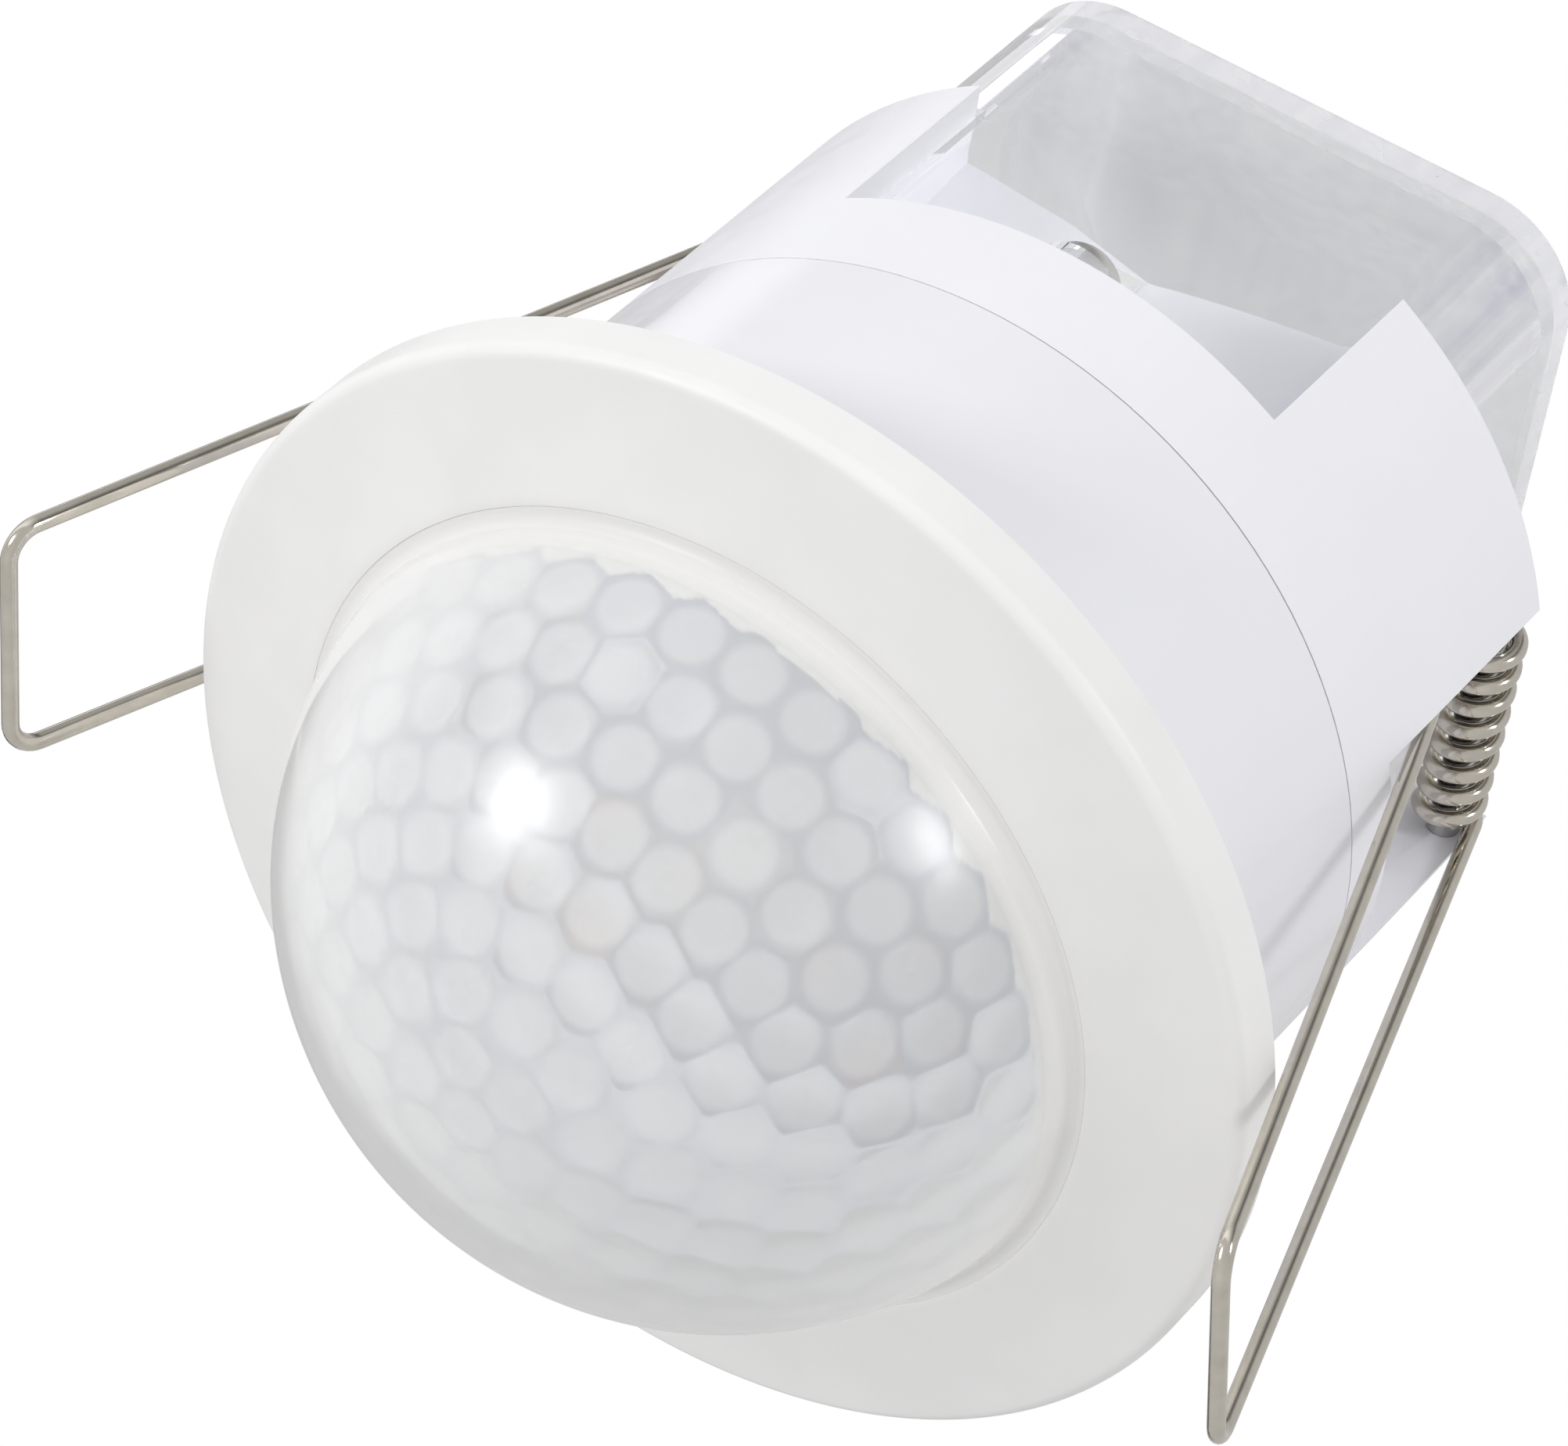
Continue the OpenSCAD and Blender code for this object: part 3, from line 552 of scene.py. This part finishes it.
SOFTENED = {
    "front_housing": 0.03, "rear_housing": 0.04, "terminal_cover": 0.35, "cover_screws": 0.08,
    "spring_pin_right": 0.1, "spring_pin_left": 0.1, "sensor_board": 0.08,
    "sensor_board_screws": 0.06, "infrared_sensor": 0.2, "infrared_window": 0.05,
    "light_sensor": 0.15, "indicator_led": 0.06, "trimmer_housings": 0.2, "time_trimmer": 0.08,
    "light_trimmer": 0.08, "sensor_chip": 0.06, "link_header": 0.12, "link_pins": 0.08,
    "power_board": 0.08, "power_board_screws": 0.06, "relay": 0.5, "dropper_capacitor": 0.45,
    "smoothing_capacitors": 0.3, "surge_disc": 0.7, "fusible_resistor": 0.1,
    "bridge_rectifier": 0.12, "terminal_block": 0.2, "terminal_screws": 0.12, "cable_clamp": 0.3,
    "cable_clamp_screws": 0.08,
}

trim_ring()
dome_lens()
spring_clips()
for node_name, edge_width in SOFTENED.items():
    softened(node_name, edge_width)


# ---- Camera, light and floor ----

def from_angles(azimuth, elevation):
    """Unit vector: azimuth turns from -Y towards +X, elevation rises towards +Z, in degrees."""
    a, e = math.radians(azimuth), math.radians(elevation)
    return Vector((math.sin(a) * math.cos(e), -math.cos(a) * math.cos(e), math.sin(e)))


AIM = Vector((-1.67, -7.10, 6.35)) * MM
CAMERA_AZIMUTH, CAMERA_ELEVATION, CAMERA_ROLL = 27.46, -41.03, 47.7
CAMERA_DISTANCE = 0.4372


def make_camera():
    data = bpy.data.cameras.new("camera")
    data.sensor_width, data.lens = 36.0, 161.68
    data.clip_start, data.clip_end = 0.02, 50.0
    camera = bpy.data.objects.new("camera", data)
    bpy.context.scene.collection.objects.link(camera)
    back = from_angles(CAMERA_AZIMUTH, CAMERA_ELEVATION)
    camera.location = AIM + back * CAMERA_DISTANCE
    camera.rotation_mode = "QUATERNION"
    camera.rotation_quaternion = (back.to_track_quat("Z", "Y")
                                  @ Quaternion((0, 0, 1), math.radians(CAMERA_ROLL)))
    bpy.context.scene.camera = camera


def softbox(name, towards, distance, width, height, radiance):
    """An area light that faces the object and isn't seen itself."""
    data = bpy.data.lights.new(name, "AREA")
    data.shape, data.size, data.size_y = "ELLIPSE", width, height
    data.energy = radiance * math.pi * width * height * math.pi / 4
    light = bpy.data.objects.new(name, data)
    bpy.context.scene.collection.objects.link(light)
    light.location = Vector(towards).normalized() * distance
    light.rotation_mode = "QUATERNION"
    light.rotation_quaternion = Vector(towards).to_track_quat("Z", "Y")
    light.visible_camera = False


# The room's brightness by side, from -1, facing away from BRIGHT_SIDE, to 1
BRIGHT_SIDE = from_angles(-53.0, -39.0)
BRIGHTEST = 1.25
LIT_ROOM = (-1, 0.66), (0.6, 1.02)
MIRRORED_ROOM = ((-0.5, 0.62), (-0.24, 0.30), (-0.10, 0.10), (0.06, 0.36), (0.3, 0.62),
                 (0.7, 1.2))
ROOM_THROUGH_PLASTIC = (-1, 0.77), (1, 0.74)
LIT_ROOM_THROUGH_PLASTIC = (-1, 0.95), (1, 1.0)


def make_world():
    """A white backdrop for the camera. The light itself comes from a grey room, brighter on one
    side, with a dark band in reflections. Through clear plastic the room looks even."""
    world = bpy.data.worlds.new("studio")
    bpy.context.scene.world = world
    world.use_nodes = True
    nodes, links = world.node_tree.nodes, world.node_tree.links
    nodes.clear()
    rays = nodes.new("ShaderNodeLightPath")
    where = nodes.new("ShaderNodeTexCoord")
    side = nodes.new("ShaderNodeVectorMath")
    side.operation = "DOT_PRODUCT"
    side.inputs[1].default_value = BRIGHT_SIDE
    from_zero = nodes.new("ShaderNodeMapRange")
    from_zero.inputs["From Min"].default_value = -1
    links.new(where.outputs["Generated"], side.inputs[0])
    links.new(side.outputs["Value"], from_zero.inputs["Value"])

    def room(*stops):
        """Walls whose brightness goes through these (side, brightness) stops."""
        ramp = nodes.new("ShaderNodeValToRGB")
        while len(ramp.color_ramp.elements) < len(stops):
            ramp.color_ramp.elements.new(0.5)
        for stop, (at, grey) in zip(ramp.color_ramp.elements, stops):
            stop.position = (at + 1) / 2
            stop.color = (grey / BRIGHTEST, grey / BRIGHTEST, grey / BRIGHTEST, 1)
        walls = nodes.new("ShaderNodeBackground")
        walls.inputs["Strength"].default_value = BRIGHTEST
        links.new(from_zero.outputs["Result"], ramp.inputs["Fac"])
        links.new(ramp.outputs["Color"], walls.inputs["Color"])
        return walls.outputs["Background"]

    def choose(ray, otherwise, chosen):
        pick = nodes.new("ShaderNodeMixShader")
        links.new(rays.outputs[ray], pick.inputs["Fac"])
        links.new(otherwise, pick.inputs[1])
        links.new(chosen, pick.inputs[2])
        return pick.outputs["Shader"]

    backdrop = nodes.new("ShaderNodeBackground")
    backdrop.inputs["Color"].default_value = (1, 1, 1, 1)
    light = choose("Is Glossy Ray", room(*LIT_ROOM), room(*MIRRORED_ROOM))
    seen_through = choose("Diffuse Depth", room(*ROOM_THROUGH_PLASTIC),
                          room(*LIT_ROOM_THROUGH_PLASTIC))
    light = choose("Transmission Depth", light, seen_through)
    out = nodes.new("ShaderNodeOutputWorld")
    links.new(choose("Is Camera Ray", light, backdrop.outputs["Background"]),
              out.inputs["Surface"])


def make_floor():
    """A plain pale floor, well below the sensor."""
    mesh = bpy.data.meshes.new("floor")
    half, height = 6.0, -0.8
    mesh.from_pydata([(-half, -half, height), (half, -half, height), (half, half, height),
                      (-half, half, height)], [], [(0, 1, 2, 3)])
    g = Graph("floor").set(Roughness=0.8)
    g.drive("Base Color", g.mix(g.span(g.noise(400.0), 0, 1), (0.78, 0.78, 0.78), (0.82, 0.82, 0.82)))
    mesh.materials.append(g.material)
    floor = bpy.data.objects.new("floor", mesh)
    bpy.context.scene.collection.objects.link(floor)


make_camera()
make_world()
make_floor()
softbox("softbox_left", (-0.555, -0.497, -0.667), 0.7, 0.19, 0.19, 19.0)
softbox("softbox_right", (0.795, -0.61, 0.10), 0.7, 0.22, 0.09, 20.0)
softbox("softbox_above", (-0.75, 0.0, 0.66), 0.7, 0.22, 0.3, 0.9)
bpy.context.scene.view_settings.view_transform = "Standard"
